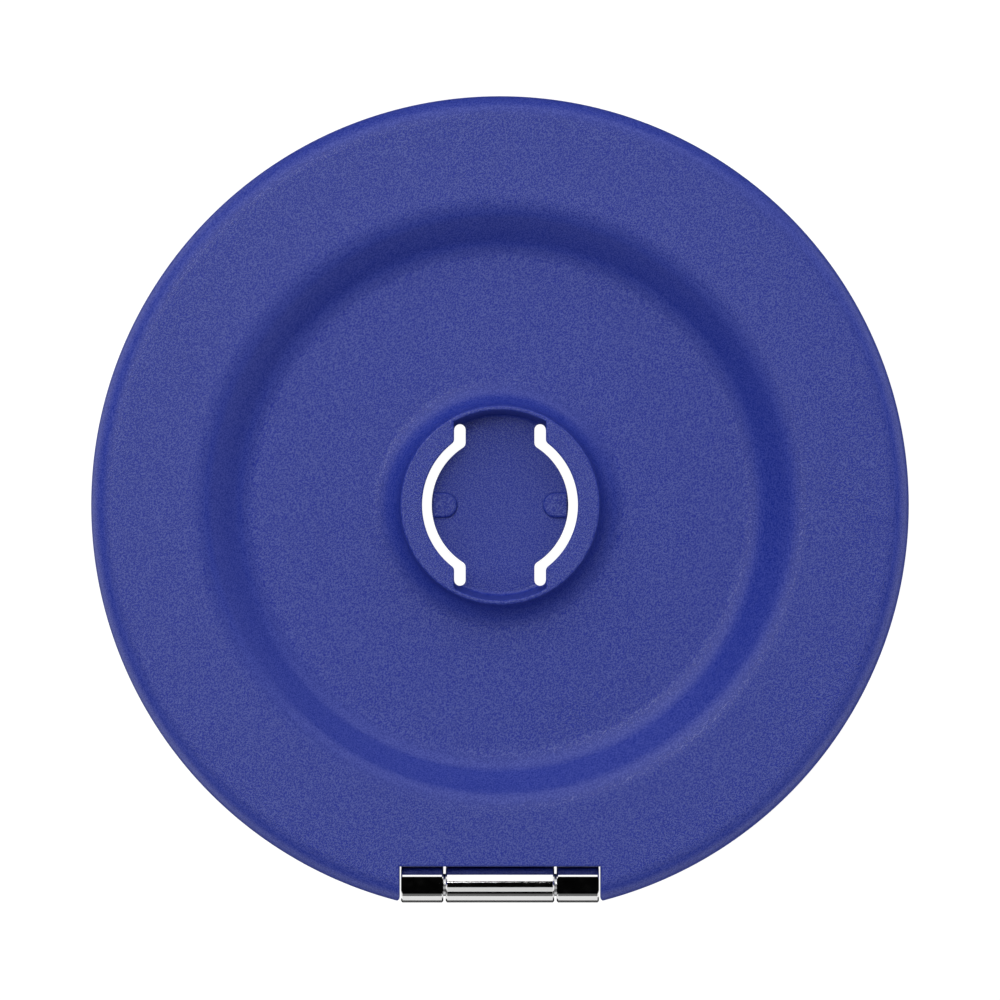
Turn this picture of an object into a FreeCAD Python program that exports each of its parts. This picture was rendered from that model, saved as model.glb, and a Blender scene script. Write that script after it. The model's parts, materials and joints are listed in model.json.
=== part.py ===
import FreeCAD, Part
import math
import os
import re

import Sketcher

# Driving sizes: millimetres, unless the name says degrees or count. The stand lies folded on its phone
# pad, face up, with the hinge towards -Y. The origin is on the disc's axis, on the face that meets a phone.
SIZES = {
    # Stand disc: flat rim, S-shaped wall down to a dished floor
    "disc_radius": 29.5,
    "disc_edge_round": 1.6,
    "disc_back_chamfer": 0.4,
    "disc_front_wall": 1.4,
    "rim_width": 7.2,
    "dish_wall_span": 4.65,
    "dish_depth": 2.6,
    "dish_wall": 1.4,
    "underside_slope_degrees": 22.4,
    # Centre boss with its twist-lock socket
    "boss_radius": 7.2,
    "boss_height": 2.4,
    "boss_foot_round": 2.1,
    "boss_edge_chamfer": 0.12,
    "socket_rim": 0.33,
    "socket_draft": 0.35,
    "bridge_thickness": 1.2,
    "lip_reach": 1.25,
    "lip_thickness": 1.1,
    "lip_corner_round": 0.4,
    "lip_edge_chamfer": 0.12,
    "mouth_half_width": 3.31,
    "slot_width": 0.685,
    "slot_end_width": 0.825,
    "detent_width": 1.87,
    "detent_reach": 1.87,
    "detent_height": 0.3,
    "detent_edge_chamfer": 0.12,
    # Steel keeper and the plate that closes its channel in the disc's back
    "keeper_thickness": 0.6,
    "back_cover_thickness": 0.8,
    "back_cover_ledge": 0.45,
    "leaf_gap": 0.2,
    # Magnet ring
    "ring_inset": 1.5,
    "ring_outer_wall": 0.95,
    "ring_inner_wall": 0.75,
    "ring_top_wall": 0.7,
    "ring_edge_chamfer": 0.3,
    "magnet_width": 4.0,
    "magnet_thickness": 1.4,
    "magnet_gap_degrees": 0.3,
    "magnet_count": 16,
    "ring_cover_thickness": 0.4,
    "ring_cover_ledge": 0.35,
    "pad_thickness": 0.5,
    "pad_inset": 0.1,
    # Friction hinge
    "hinge_inset": 2.1,
    "hinge_length": 14.26,
    "barrel_radius": 1.27,
    "barrel_clearance": 0.08,
    "end_clearance": 0.11,
    "centre_knuckle_length": 7.82,
    "knuckle_gap": 0.18,
    "knuckle_chamfer": 0.1,
    "knuckle_flat_depth": 0.16,
    "notch_edge_chamfer": 0.15,
    "ring_notch_margin": 1.0,
    "hinge_block_wall": 0.61,
    "pin_radius": 0.8,
    "pin_end_gap": 0.06,
    "pin_chamfer": 0.1,
    "running_clearance": 0.02,
    "clip_thickness": 0.16,
    "clip_gap": 0.1,
    "clip_opening_degrees": 50,
    "clip_count": 4,
    "hinge_plate_thickness": 0.6,
    "hinge_plate_margin": 0.65,
    "hinge_neck_width": 0.9,
    # Countersunk screws, two in each hinge leaf
    "screw_spacing": 9.2,
    "screw_length": 1.9,
    "screw_head_radius": 0.95,
    "screw_head_height": 0.45,
    "screw_shank_radius": 0.5,
    "screw_tip_room": 0.2,
    # Clearance round pieces that lie in a pocket or channel
    "fit_clearance": 0.05,
}

# Levels above the phone, radii and places that follow from the driving sizes
DERIVED = {
    "magnet_level": "pad_thickness + ring_cover_thickness",
    "magnet_top": "magnet_level + magnet_thickness",
    "ring_top": "magnet_top + ring_top_wall",
    "disc_back": "ring_top + leaf_gap",
    "keeper_level": "disc_back + back_cover_thickness",
    "keeper_top": "keeper_level + keeper_thickness",
    "disc_face": "keeper_top + disc_front_wall",
    "dish_floor": "disc_face - dish_depth",
    "dish_underside": "dish_floor - dish_wall",
    "boss_top": "dish_floor + boss_height",
    "socket_floor": "dish_underside + bridge_thickness",
    "lip_underside": "boss_top - lip_thickness",
    # The dish wall is two equal arcs that meet half-way up
    "rim_radius": "disc_radius - rim_width",
    "floor_radius": "rim_radius - dish_wall_span",
    "wall_arc": "(dish_wall_span^2 + dish_depth^2) / (4 * dish_depth)",
    "wall_middle_radius": "rim_radius - dish_wall_span / 2",
    "wall_middle_level": "disc_face - dish_depth / 2",
    "under_drop": "disc_back - dish_underside",
    "under_radius": "floor_radius + under_drop / tan(1deg * underside_slope_degrees)",
    "foot_arc": "min(boss_foot_round; boss_height - boss_edge_chamfer)",
    # Socket outlines, seen from the front
    "socket_mouth_radius": "boss_radius - socket_rim",
    "socket_floor_radius": "socket_mouth_radius - socket_draft",
    "lip_radius": "socket_mouth_radius - lip_reach",
    "lip_root_radius": "socket_mouth_radius + (socket_rim - boss_edge_chamfer) / 2",
    "lip_corner": "sqrt(lip_radius^2 - mouth_half_width^2)",
    "lip_root_corner": "sqrt(lip_root_radius^2 - mouth_half_width^2)",
    "bridge_radius": "lip_radius - slot_width",
    "bridge_half_width": "mouth_half_width - slot_end_width",
    "bridge_corner": "sqrt(bridge_radius^2 - bridge_half_width^2)",
    "slot_end_round": "slot_end_width / 2",
    "slot_middle": "mouth_half_width - slot_end_round",
    "slot_end": "sqrt(socket_floor_radius^2 - slot_middle^2)",
    "slot_shoulder": "slot_end - slot_end_round",
    "slot_wall_corner": "sqrt(socket_floor_radius^2 - slot_shoulder^2)",
    "detent_round": "detent_width / 2",
    "detent_edge": "sqrt(bridge_radius^2 - detent_round^2)",
    "detent_tip": "bridge_radius - detent_reach",
    # Magnet ring
    "ring_radius": "disc_radius - ring_inset",
    "channel_outer": "ring_radius - ring_outer_wall",
    "magnet_outer": "channel_outer - fit_clearance",
    "magnet_inner": "magnet_outer - magnet_width",
    "channel_inner": "magnet_inner - fit_clearance",
    "ring_bore": "channel_inner - ring_inner_wall",
    "ring_cover_seat_inner": "channel_inner - ring_cover_ledge",
    "ring_cover_seat_outer": "channel_outer + ring_cover_ledge",
    "back_cover_seat_inner": "channel_inner - back_cover_ledge",
    "back_cover_seat_outer": "channel_outer + back_cover_ledge",
    # Hinge
    "hinge_y": "hinge_inset - disc_radius",
    "axis_level": "disc_face - barrel_radius",
    "half_hinge": "hinge_length / 2",
    "half_centre": "centre_knuckle_length / 2",
    "side_knuckle_start": "half_centre + knuckle_gap",
    "barrel_edge": "barrel_radius - knuckle_chamfer",
    "clip_radius": "pin_radius + running_clearance",
    "clip_bore": "clip_radius + clip_thickness",
    "clip_pitch": "centre_knuckle_length / clip_count",
    "notch_wall": "hinge_y + barrel_radius + barrel_clearance",
    "notch_half_width": "half_hinge + end_clearance",
    "ring_notch_half_width": "notch_half_width + ring_notch_margin",
    "block_half_degrees": "asin((notch_half_width + hinge_block_wall) / channel_inner)",
    "channel_sweep": "360deg - 2 * block_half_degrees",
    "cover_sweep": "channel_sweep - 1deg * magnet_gap_degrees",
    "magnet_pitch": "channel_sweep / magnet_count",
    "plate_inner_y": "-ring_bore - hinge_plate_margin",
    "stand_plate_top": "disc_back + hinge_plate_thickness",
    "ring_plate_level": "ring_top - hinge_plate_thickness",
    "half_neck": "hinge_neck_width / 2",
    "stand_arm_top": "axis_level - (pin_radius + barrel_radius) / 2",
    "ring_neck_top": "axis_level - (clip_bore + barrel_radius) / 2",
    "half_screws": "screw_spacing / 2",
    "screw_y": "(notch_wall + plate_inner_y) / 2",
    "screw_hole_radius": "screw_shank_radius + running_clearance",
    "screw_seat_radius": "screw_head_radius + running_clearance",
    "pilot_depth": "screw_length + screw_tip_room",
}

doc = FreeCAD.newDocument("phone_grip_stand")
sheet = doc.addObject("Spreadsheet::Sheet", "Sizes")
for row, (alias, size) in enumerate(SIZES.items(), start=1):
    sheet.set(f"A{row}", alias)
    sheet.set(f"B{row}", str(size))
    sheet.setAlias(f"B{row}", alias)
doc.recompute()


def bound(expression):
    """The expression with every size named in it pointing at its cell of the sheet."""

    def cell(match):
        word = match[0]
        if word in DERIVED:
            return f"({bound(DERIVED[word])})"
        return f"Sizes.{word}" if word in SIZES else word

    return re.sub(r"[a-z_]+", cell, expression)


def number(expression):
    """What the expression comes to now."""
    result = sheet.evalExpression(bound(expression))
    return float(getattr(result, "Value", result))


def new_body(label):
    body = doc.addObject("PartDesign::Body", label)
    body.Label = label
    return body


def new_sketch(body, name, plane, **offsets):
    """A sketch on one of the body's own planes, moved along its axes by the expressions given."""
    sketch = body.newObject("Sketcher::SketchObject", f"{body.Label}_{name}")
    support = next(part for part in body.Origin.OriginFeatures if part.Role == plane)
    sketch.AttachmentSupport = [(support, "")]
    sketch.MapMode = "FlatFace"
    for axis, expression in offsets.items():
        sketch.setExpression(f"AttachmentOffset.Base.{axis}", bound(expression))
    return sketch


def constrain(sketch, expression, kind, *where):
    """Adds a constraint whose value is the expression."""
    index = sketch.addConstraint(Sketcher.Constraint(kind, *where, number(expression)))
    sketch.setExpression(f"Constraints[{index}]", bound(expression))


def arc_between(start, end, radius, bend):
    """The short arc from start to end that bends left (counter-clockwise) or right."""
    chord = end - start
    offset = math.sqrt(max(radius**2 - (chord.Length / 2) ** 2, 0))
    sideways = FreeCAD.Vector(-chord.y, chord.x, 0).normalize()
    centre = (start + end) / 2 + sideways * (offset if bend == "left" else -offset)
    first, last = (start, end) if bend == "left" else (end, start)
    angles = [math.atan2(point.y - centre.y, point.x - centre.x) for point in (first, last)]
    return Part.ArcOfCircle(Part.Circle(centre, FreeCAD.Vector(0, 0, 1), radius), *angles)


def draw_outline(sketch, *corners):
    """Draws a closed outline and ties every corner to the sheet.

    A corner is (across, up). The side that leads to a corner (across, up, radius, bend) is an arc.
    """
    points = [FreeCAD.Vector(number(corner[0]), number(corner[1]), 0) for corner in corners]
    sides = []
    for index, corner in enumerate(corners):
        start, end = points[index - 1], points[index]
        if len(corner) == 2:
            sides.append((sketch.addGeometry(Part.LineSegment(start, end)), 1, 2))
            continue
        radius, bend = corner[2:]
        arc = sketch.addGeometry(arc_between(start, end, number(radius), bend))
        sides.append((arc, 1, 2) if bend == "left" else (arc, 2, 1))
        constrain(sketch, radius, "Radius", arc)
    for index, corner in enumerate(corners):
        side, _, tail = sides[index]
        following, head, _ = sides[(index + 1) % len(sides)]
        sketch.addConstraint(Sketcher.Constraint("Coincident", side, tail, following, head))
        constrain(sketch, corner[0], "DistanceX", -1, 1, side, tail)
        constrain(sketch, corner[1], "DistanceY", -1, 1, side, tail)


def draw_box(sketch, left, right, low, high):
    """Draws a rectangle between two places across and two places up."""
    draw_outline(sketch, (right, low), (right, high), (left, high), (left, low))


def draw_both_sides(sketch, *corners):
    """Draws an outline that runs counter-clockwise on the right, and its mirror image on the left."""
    draw_outline(sketch, *corners)
    other = {"left": "right", "right": "left"}
    reflection = [
        (f"-({corner[0]})", *corner[1:3], *[other[bend] for bend in corner[3:]]) for corner in corners
    ]
    draw_outline(sketch, *reflection)


def settle(body, feature):
    """Recomputes, and stops if the feature failed or left the body's solid as it was."""
    before = 0 if body.Shape.isNull() else body.Shape.Volume
    doc.recompute()
    if "Invalid" in feature.State or math.isclose(body.Shape.Volume, before, rel_tol=1e-9):
        raise RuntimeError(f"{feature.Label} failed or changed nothing")
    return feature


def turned(body, kind, name, sketch, axis="V_Axis", sweep="360deg"):
    """Adds (Revolution) or cuts (Groove) the sketch turned about its axis, half the sweep each way."""
    feature = body.newObject(f"PartDesign::{kind}", f"{body.Label}_{name}")
    feature.Profile = sketch
    feature.ReferenceAxis = (sketch, [axis])
    feature.Midplane = True
    feature.setExpression("Angle", bound(sweep))
    return settle(body, feature)


def pushed(body, kind, name, sketch, length=None):
    """Adds (Pad) the sketch upwards by a length, or cuts (Pocket) it right through downwards."""
    feature = body.newObject(f"PartDesign::{kind}", f"{body.Label}_{name}")
    feature.Profile = sketch
    if length is None:
        feature.Type = "ThroughAll"
    else:
        feature.setExpression("Length", bound(length))
    return settle(body, feature)


def broken(body, kind, name, size, chosen):
    """Breaks the edges of the body that the test picks out, by a radius (Fillet) or a bevel (Chamfer)."""
    base = body.Tip
    edges = [f"Edge{index}" for index, edge in enumerate(base.Shape.Edges, start=1) if chosen(edge)]
    feature = body.newObject(f"PartDesign::{kind}", f"{body.Label}_{name}")
    feature.Base = (base, edges)
    feature.setExpression("Radius" if kind == "Fillet" else "Size", bound(size))
    return settle(body, feature)


def mirrored(body, name, original):
    """Repeats a feature on the other side of the hinge's middle."""
    feature = body.newObject("PartDesign::Mirrored", f"{body.Label}_{name}")
    feature.Originals = [original]
    plane = next(part for part in body.Origin.OriginFeatures if part.Role == "YZ_Plane")
    feature.MirrorPlane = (plane, [""])
    body.Tip = feature
    return settle(body, feature)


def near(first, second):
    """Whether two lengths are the same to a hundredth of a millimetre."""
    return abs(first - second) < 0.01


def upright_at(across, along):
    """A test for upright edges at the four places mirrored from (across, along)."""
    x, y = number(across), number(along)

    def chosen(edge):
        low, high = edge.BoundBox.ZMin, edge.BoundBox.ZMax
        middle = edge.CenterOfMass
        upright = near(high - low, edge.Length)
        return upright and near(abs(middle.x), x) and near(abs(middle.y), y)

    return chosen


def flat_at(level, radius=None):
    """A test for edges that lie at a level: straight ones, or arcs of the radius given."""
    height = number(level)
    kind = "Part::GeomLine" if radius is None else "Part::GeomCircle"

    def chosen(edge):
        level_edge = near(edge.BoundBox.ZMin, height) and near(edge.BoundBox.ZMax, height)
        if not level_edge or edge.Curve.TypeId != kind:
            return False
        return radius is None or near(edge.Curve.Radius, number(radius))

    return chosen


def make_stand_disc():
    """The moulded disc: a profile turned about Z, with the socket, channel and hinge notch cut in it."""
    disc = new_body("stand_disc")
    profile = new_sketch(disc, "profile", "XZ_Plane")
    draw_outline(
        profile,
        ("0", "dish_underside"),
        ("floor_radius", "dish_underside"),
        ("under_radius", "disc_back"),
        ("disc_radius - disc_back_chamfer", "disc_back"),
        ("disc_radius", "disc_back + disc_back_chamfer"),
        ("disc_radius", "disc_face - disc_edge_round"),
        ("disc_radius - disc_edge_round", "disc_face", "disc_edge_round", "left"),
        ("rim_radius", "disc_face"),
        ("wall_middle_radius", "wall_middle_level", "wall_arc", "left"),
        ("floor_radius", "dish_floor", "wall_arc", "right"),
        ("boss_radius + foot_arc", "dish_floor"),
        ("boss_radius", "dish_floor + foot_arc", "foot_arc", "right"),
        ("boss_radius", "boss_top - boss_edge_chamfer"),
        ("boss_radius - boss_edge_chamfer", "boss_top"),
        ("0", "boss_top"),
    )
    turned(disc, "Revolution", "moulding", profile)

    socket = new_sketch(disc, "socket_profile", "XZ_Plane")
    draw_outline(
        socket,
        ("0", "socket_floor"),
        ("socket_floor_radius", "socket_floor"),
        ("socket_mouth_radius", "boss_top"),
        ("socket_mouth_radius", "boss_top + lip_thickness"),
        ("0", "boss_top + lip_thickness"),
    )
    turned(disc, "Groove", "socket", socket)

    # Below each lip the floor is open, and only a bridge crosses the socket from top to bottom
    windows = new_sketch(disc, "window_outlines", "XY_Plane", z="socket_floor")
    draw_both_sides(
        windows,
        ("bridge_half_width", "-slot_shoulder"),
        ("slot_middle", "-slot_end", "slot_end_round", "left"),
        ("mouth_half_width", "-slot_shoulder", "slot_end_round", "left"),
        ("slot_wall_corner", "-slot_shoulder"),
        ("slot_wall_corner", "slot_shoulder", "socket_floor_radius", "left"),
        ("mouth_half_width", "slot_shoulder"),
        ("slot_middle", "slot_end", "slot_end_round", "left"),
        ("bridge_half_width", "slot_shoulder", "slot_end_round", "left"),
        ("bridge_half_width", "bridge_corner"),
        ("bridge_half_width", "-bridge_corner", "bridge_radius", "right"),
    )
    pushed(disc, "Pocket", "windows", windows)

    lips = new_sketch(disc, "lip_outlines", "XY_Plane", z="lip_underside")
    draw_both_sides(
        lips,
        ("mouth_half_width", "-lip_root_corner"),
        ("mouth_half_width", "lip_root_corner", "lip_root_radius", "left"),
        ("mouth_half_width", "lip_corner"),
        ("mouth_half_width", "-lip_corner", "lip_radius", "right"),
    )
    pushed(disc, "Pad", "lips", lips, "lip_thickness")
    lip_ends = upright_at("mouth_half_width", "lip_corner")
    broken(disc, "Fillet", "lip_corners", "lip_corner_round", lip_ends)
    bridge_ends = upright_at("bridge_half_width", "bridge_corner")
    broken(disc, "Fillet", "bridge_corners", "lip_corner_round", bridge_ends)
    broken(disc, "Chamfer", "lip_edges", "lip_edge_chamfer", flat_at("boss_top", "lip_radius"))

    detents = new_sketch(disc, "detent_outlines", "XY_Plane", z="socket_floor")
    draw_both_sides(
        detents,
        ("detent_edge", "-detent_round"),
        ("detent_edge", "detent_round", "bridge_radius", "left"),
        ("detent_tip + detent_round", "detent_round"),
        ("detent_tip", "0", "detent_round", "left"),
        ("detent_tip + detent_round", "-detent_round", "detent_round", "left"),
    )
    pushed(disc, "Pad", "detents", detents, "detent_height")
    detent_rims = flat_at("socket_floor + detent_height", "detent_round")
    broken(disc, "Chamfer", "detent_edges", "detent_edge_chamfer", detent_rims)

    channel = new_sketch(disc, "channel_profile", "YZ_Plane")
    draw_outline(
        channel,
        ("back_cover_seat_inner", "ring_top"),
        ("back_cover_seat_outer", "ring_top"),
        ("back_cover_seat_outer", "keeper_level"),
        ("channel_outer", "keeper_level"),
        ("channel_outer", "keeper_top"),
        ("channel_inner", "keeper_top"),
        ("channel_inner", "keeper_level"),
        ("back_cover_seat_inner", "keeper_level"),
    )
    turned(disc, "Groove", "keeper_channel", channel, sweep="channel_sweep")

    notch = new_sketch(disc, "notch_outline", "XY_Plane", z="disc_face")
    draw_box(notch, "-notch_half_width", "notch_half_width", "-disc_radius - hinge_inset", "notch_wall")
    pushed(disc, "Pocket", "hinge_notch", notch)
    broken(disc, "Chamfer", "notch_edges", "notch_edge_chamfer", flat_at("disc_face"))
    recess = new_sketch(disc, "recess_outline", "XY_Plane", z="stand_plate_top")
    half_recess = "half_hinge + fit_clearance"
    draw_box(recess, f"-({half_recess})", half_recess, "hinge_y", "plate_inner_y + fit_clearance")
    pushed(disc, "Pocket", "hinge_plate_recess", recess)

    pilot = new_sketch(disc, "pilot_profile", "YZ_Plane", x="screw_y", z="half_screws")
    draw_box(pilot, "0", "screw_hole_radius", "disc_back", "disc_back + pilot_depth")
    mirrored(disc, "other_pilot_hole", turned(disc, "Groove", "pilot_hole", pilot))
    return disc


def c_ring(label, inner, outer, low, high, sweep):
    """A flat ring with a gap at the hinge, turned from a rectangular section."""
    ring = new_body(label)
    section = new_sketch(ring, "section", "YZ_Plane")
    draw_box(section, inner, outer, low, high)
    turned(ring, "Revolution", "ring", section, sweep=sweep)
    return ring


def make_ring_housing():
    """The magnet ring's tray, open towards the phone, solid where the hinge is screwed on."""
    housing = new_body("ring_housing")
    profile = new_sketch(housing, "profile", "XZ_Plane")
    draw_outline(
        profile,
        ("ring_bore", "pad_thickness"),
        ("ring_radius", "pad_thickness"),
        ("ring_radius", "ring_top - ring_edge_chamfer"),
        ("ring_radius - ring_edge_chamfer", "ring_top"),
        ("ring_bore + ring_edge_chamfer", "ring_top"),
        ("ring_bore", "ring_top - ring_edge_chamfer"),
    )
    turned(housing, "Revolution", "tray", profile)

    channel = new_sketch(housing, "channel_profile", "YZ_Plane")
    draw_outline(
        channel,
        ("ring_cover_seat_inner", "0"),
        ("ring_cover_seat_outer", "0"),
        ("ring_cover_seat_outer", "magnet_level"),
        ("channel_outer", "magnet_level"),
        ("channel_outer", "magnet_top"),
        ("channel_inner", "magnet_top"),
        ("channel_inner", "magnet_level"),
        ("ring_cover_seat_inner", "magnet_level"),
    )
    turned(housing, "Groove", "magnet_channel", channel, sweep="channel_sweep")

    notch = new_sketch(housing, "notch_outline", "XY_Plane", z="ring_top")
    half_notch = "ring_notch_half_width"
    draw_box(notch, f"-{half_notch}", half_notch, "-disc_radius", "notch_wall")
    pushed(housing, "Pocket", "hinge_notch", notch)
    recess = new_sketch(housing, "recess_outline", "XY_Plane", z="disc_face")
    half_recess = "half_hinge + fit_clearance"
    draw_box(recess, f"-({half_recess})", half_recess, "hinge_y", "plate_inner_y + fit_clearance")
    pushed(housing, "Pocket", "hinge_plate_recess", recess, "disc_face - ring_plate_level")
    pilot = new_sketch(housing, "pilot_profile", "YZ_Plane", x="screw_y", z="half_screws")
    draw_box(pilot, "0", "screw_hole_radius", "ring_top - pilot_depth", "ring_top")
    mirrored(housing, "other_pilot_hole", turned(housing, "Groove", "pilot_hole", pilot))
    return housing


def make_phone_pad():
    """The soft ring that meets the phone, cut away at the hinge with the housing."""
    pad = new_body("phone_pad")
    section = new_sketch(pad, "section", "XZ_Plane")
    draw_box(section, "ring_bore + pad_inset", "ring_radius - pad_inset", "0", "pad_thickness")
    turned(pad, "Revolution", "ring", section)
    notch = new_sketch(pad, "notch_outline", "XY_Plane", z="pad_thickness")
    half_notch = "(ring_notch_half_width + pad_inset)"
    draw_box(notch, f"-{half_notch}", half_notch, "-disc_radius", "notch_wall + pad_inset")
    pushed(pad, "Pocket", "hinge_notch", notch)
    return pad


def make_magnet(index):
    """One arc magnet of the C, turned to its place in the channel."""
    label = f"magnet_{index:02d}"
    magnet = c_ring(
        label, "magnet_inner", "magnet_outer", "magnet_level", "magnet_top",
        "magnet_pitch - 1deg * magnet_gap_degrees",
    )
    magnet.Placement = FreeCAD.Placement(FreeCAD.Vector(), FreeCAD.Rotation(FreeCAD.Vector(0, 0, 1), 1))
    place = f"({index} - (magnet_count + 1) / 2) * magnet_pitch"
    magnet.setExpression("Placement.Rotation.Angle", bound(place))
    return magnet


def knuckle_profile(start, end, bore):
    """Half the section of a knuckle, from its bore out to its chamfered ends, along the hinge's axis."""
    return (
        (start, bore),
        (end, bore),
        (end, "barrel_edge"),
        (f"{end} - knuckle_chamfer", "barrel_radius"),
        (f"{start} + knuckle_chamfer", "barrel_radius"),
        (start, "barrel_edge"),
    )


def countersink(leaf, face, into):
    """Cuts the two screw seats in a hinge leaf, from its face inwards (+ is up)."""
    seat = new_sketch(leaf, "screw_seat", "YZ_Plane", x="screw_y", z="half_screws")
    profile = (
        ("0", face),
        ("screw_seat_radius", face),
        ("screw_hole_radius", f"{face} {into} screw_head_height"),
        ("screw_hole_radius", f"{face} {into} 2 * hinge_plate_thickness"),
        ("0", f"{face} {into} 2 * hinge_plate_thickness"),
    )
    draw_outline(seat, *profile)
    mirrored(leaf, "other_screw_hole", turned(leaf, "Groove", "screw_hole", seat))


def make_screws(label, face, into):
    """The two countersunk screws of a leaf, heads flush with its face, pointing up (+) or down (-)."""
    screws = new_body(label)
    section = new_sketch(screws, "section", "YZ_Plane", x="screw_y", z="half_screws")
    draw_outline(
        section,
        ("0", face),
        ("screw_head_radius", face),
        ("screw_shank_radius", f"{face} {into} screw_head_height"),
        ("screw_shank_radius", f"{face} {into} screw_length"),
        ("0", f"{face} {into} screw_length"),
    )
    mirrored(screws, "other_screw", turned(screws, "Revolution", "screw", section))
    return screws


def make_stand_hinge_leaf():
    """The stand's steel leaf: a plate let into the disc's back, with the two outer knuckles on its arms."""
    leaf = new_body("stand_hinge_leaf")
    plate = new_sketch(leaf, "plate_outline", "XY_Plane", z="disc_back")
    draw_box(plate, "-half_hinge", "half_hinge", "notch_wall", "plate_inner_y")
    pushed(leaf, "Pad", "plate", plate, "hinge_plate_thickness")
    arms = new_sketch(leaf, "arm_outlines", "XY_Plane", z="disc_back")
    draw_both_sides(
        arms,
        ("side_knuckle_start", "hinge_y - half_neck"),
        ("half_hinge", "hinge_y - half_neck"),
        ("half_hinge", "notch_wall + half_neck"),
        ("side_knuckle_start", "notch_wall + half_neck"),
    )
    pushed(leaf, "Pad", "arms", arms, "stand_arm_top - disc_back")
    barrels = new_sketch(leaf, "knuckle_profiles", "XY_Plane", y="hinge_y", z="axis_level")
    draw_both_sides(barrels, *knuckle_profile("side_knuckle_start", "half_hinge", "pin_radius"))
    turned(leaf, "Revolution", "knuckles", barrels, axis="H_Axis")
    flat = new_sketch(leaf, "flat_outline", "XY_Plane", z="axis_level + 2 * barrel_radius")
    draw_box(flat, "-hinge_length", "hinge_length", "-disc_radius", "notch_wall")
    pushed(leaf, "Pocket", "knuckle_flats", flat, "barrel_radius + knuckle_flat_depth")
    countersink(leaf, "disc_back", "+")
    return leaf


def make_ring_hinge_leaf():
    """The ring's steel leaf: a plate let into the housing's top, with the centre knuckle on a neck."""
    leaf = new_body("ring_hinge_leaf")
    plate = new_sketch(leaf, "plate_outline", "XY_Plane", z="ring_plate_level")
    draw_outline(
        plate,
        ("half_centre", "hinge_y - half_neck"),
        ("half_centre", "notch_wall"),
        ("half_hinge", "notch_wall"),
        ("half_hinge", "plate_inner_y"),
        ("-half_hinge", "plate_inner_y"),
        ("-half_hinge", "notch_wall"),
        ("-half_centre", "notch_wall"),
        ("-half_centre", "hinge_y - half_neck"),
    )
    pushed(leaf, "Pad", "plate", plate, "hinge_plate_thickness")
    neck = new_sketch(leaf, "neck_outline", "XY_Plane", z="ring_plate_level")
    draw_box(neck, "-half_centre", "half_centre", "hinge_y - half_neck", "hinge_y + half_neck")
    pushed(leaf, "Pad", "neck", neck, "ring_neck_top - ring_plate_level")
    barrel = new_sketch(leaf, "knuckle_profile", "XY_Plane", y="hinge_y", z="axis_level")
    draw_outline(barrel, *knuckle_profile("-half_centre", "half_centre", "clip_bore"))
    turned(leaf, "Revolution", "knuckle", barrel, axis="H_Axis")
    countersink(leaf, "ring_top", "-")
    return leaf


def make_hinge_pin():
    """The pin, pressed into the outer knuckles and held by the clips in the centre one."""
    pin = new_body("hinge_pin")
    section = new_sketch(pin, "section", "XY_Plane", y="hinge_y", z="axis_level")
    end = "(half_hinge - pin_end_gap)"
    draw_outline(
        section,
        (f"-{end}", "0"),
        (end, "0"),
        (end, "pin_radius - pin_chamfer"),
        (f"{end} - pin_chamfer", "pin_radius"),
        (f"pin_chamfer - {end}", "pin_radius"),
        (f"-{end}", "pin_radius - pin_chamfer"),
    )
    turned(pin, "Revolution", "pin", section, axis="H_Axis")
    return pin


def make_friction_clip(index):
    """One split spring clip in the centre knuckle's bore, open towards the hinge's outer side."""
    clip = new_body(f"friction_clip_{index}")
    section = new_sketch(clip, "section", "XY_Plane", y="hinge_y", z="axis_level")
    middle = f"({index} - (clip_count + 1) / 2) * clip_pitch"
    half_clip = "(clip_pitch - clip_gap) / 2"
    draw_box(section, f"{middle} - {half_clip}", f"{middle} + {half_clip}", "clip_radius", "clip_bore")
    turned(clip, "Revolution", "clip", section, axis="H_Axis", sweep="360deg - 1deg * clip_opening_degrees")
    return clip


pieces = [
    make_stand_disc(),
    c_ring("keeper_ring", "magnet_inner", "magnet_outer", "keeper_level", "keeper_top", "cover_sweep"),
    c_ring(
        "stand_back_cover", "back_cover_seat_inner + fit_clearance", "back_cover_seat_outer - fit_clearance",
        "disc_back", "keeper_level", "cover_sweep",
    ),
    make_stand_hinge_leaf(),
    make_screws("stand_hinge_screws", "disc_back", "+"),
    make_hinge_pin(),
    make_ring_housing(),
    c_ring(
        "ring_cover", "ring_cover_seat_inner + fit_clearance", "ring_cover_seat_outer - fit_clearance",
        "pad_thickness", "magnet_level", "cover_sweep",
    ),
    make_phone_pad(),
    make_ring_hinge_leaf(),
    make_screws("ring_hinge_screws", "ring_top", "-"),
]
pieces += [make_magnet(index) for index in range(1, SIZES["magnet_count"] + 1)]
pieces += [make_friction_clip(index) for index in range(1, SIZES["clip_count"] + 1)]

doc.recompute()
failed = [item.Label for item in doc.Objects if {"Invalid", "Error"} & set(item.State)]
failed += [piece.Label for piece in pieces if piece.Shape.isNull() or not piece.Shape.isValid()]
if failed:
    raise RuntimeError(f"not built: {failed}")

os.makedirs("parts", exist_ok=True)
for piece in pieces:
    piece.Shape.exportStep(f"parts/{piece.Label}.step")
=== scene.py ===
import json
import math
from functools import partial

import bmesh
import bpy
from mathutils import Matrix, Vector

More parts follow.
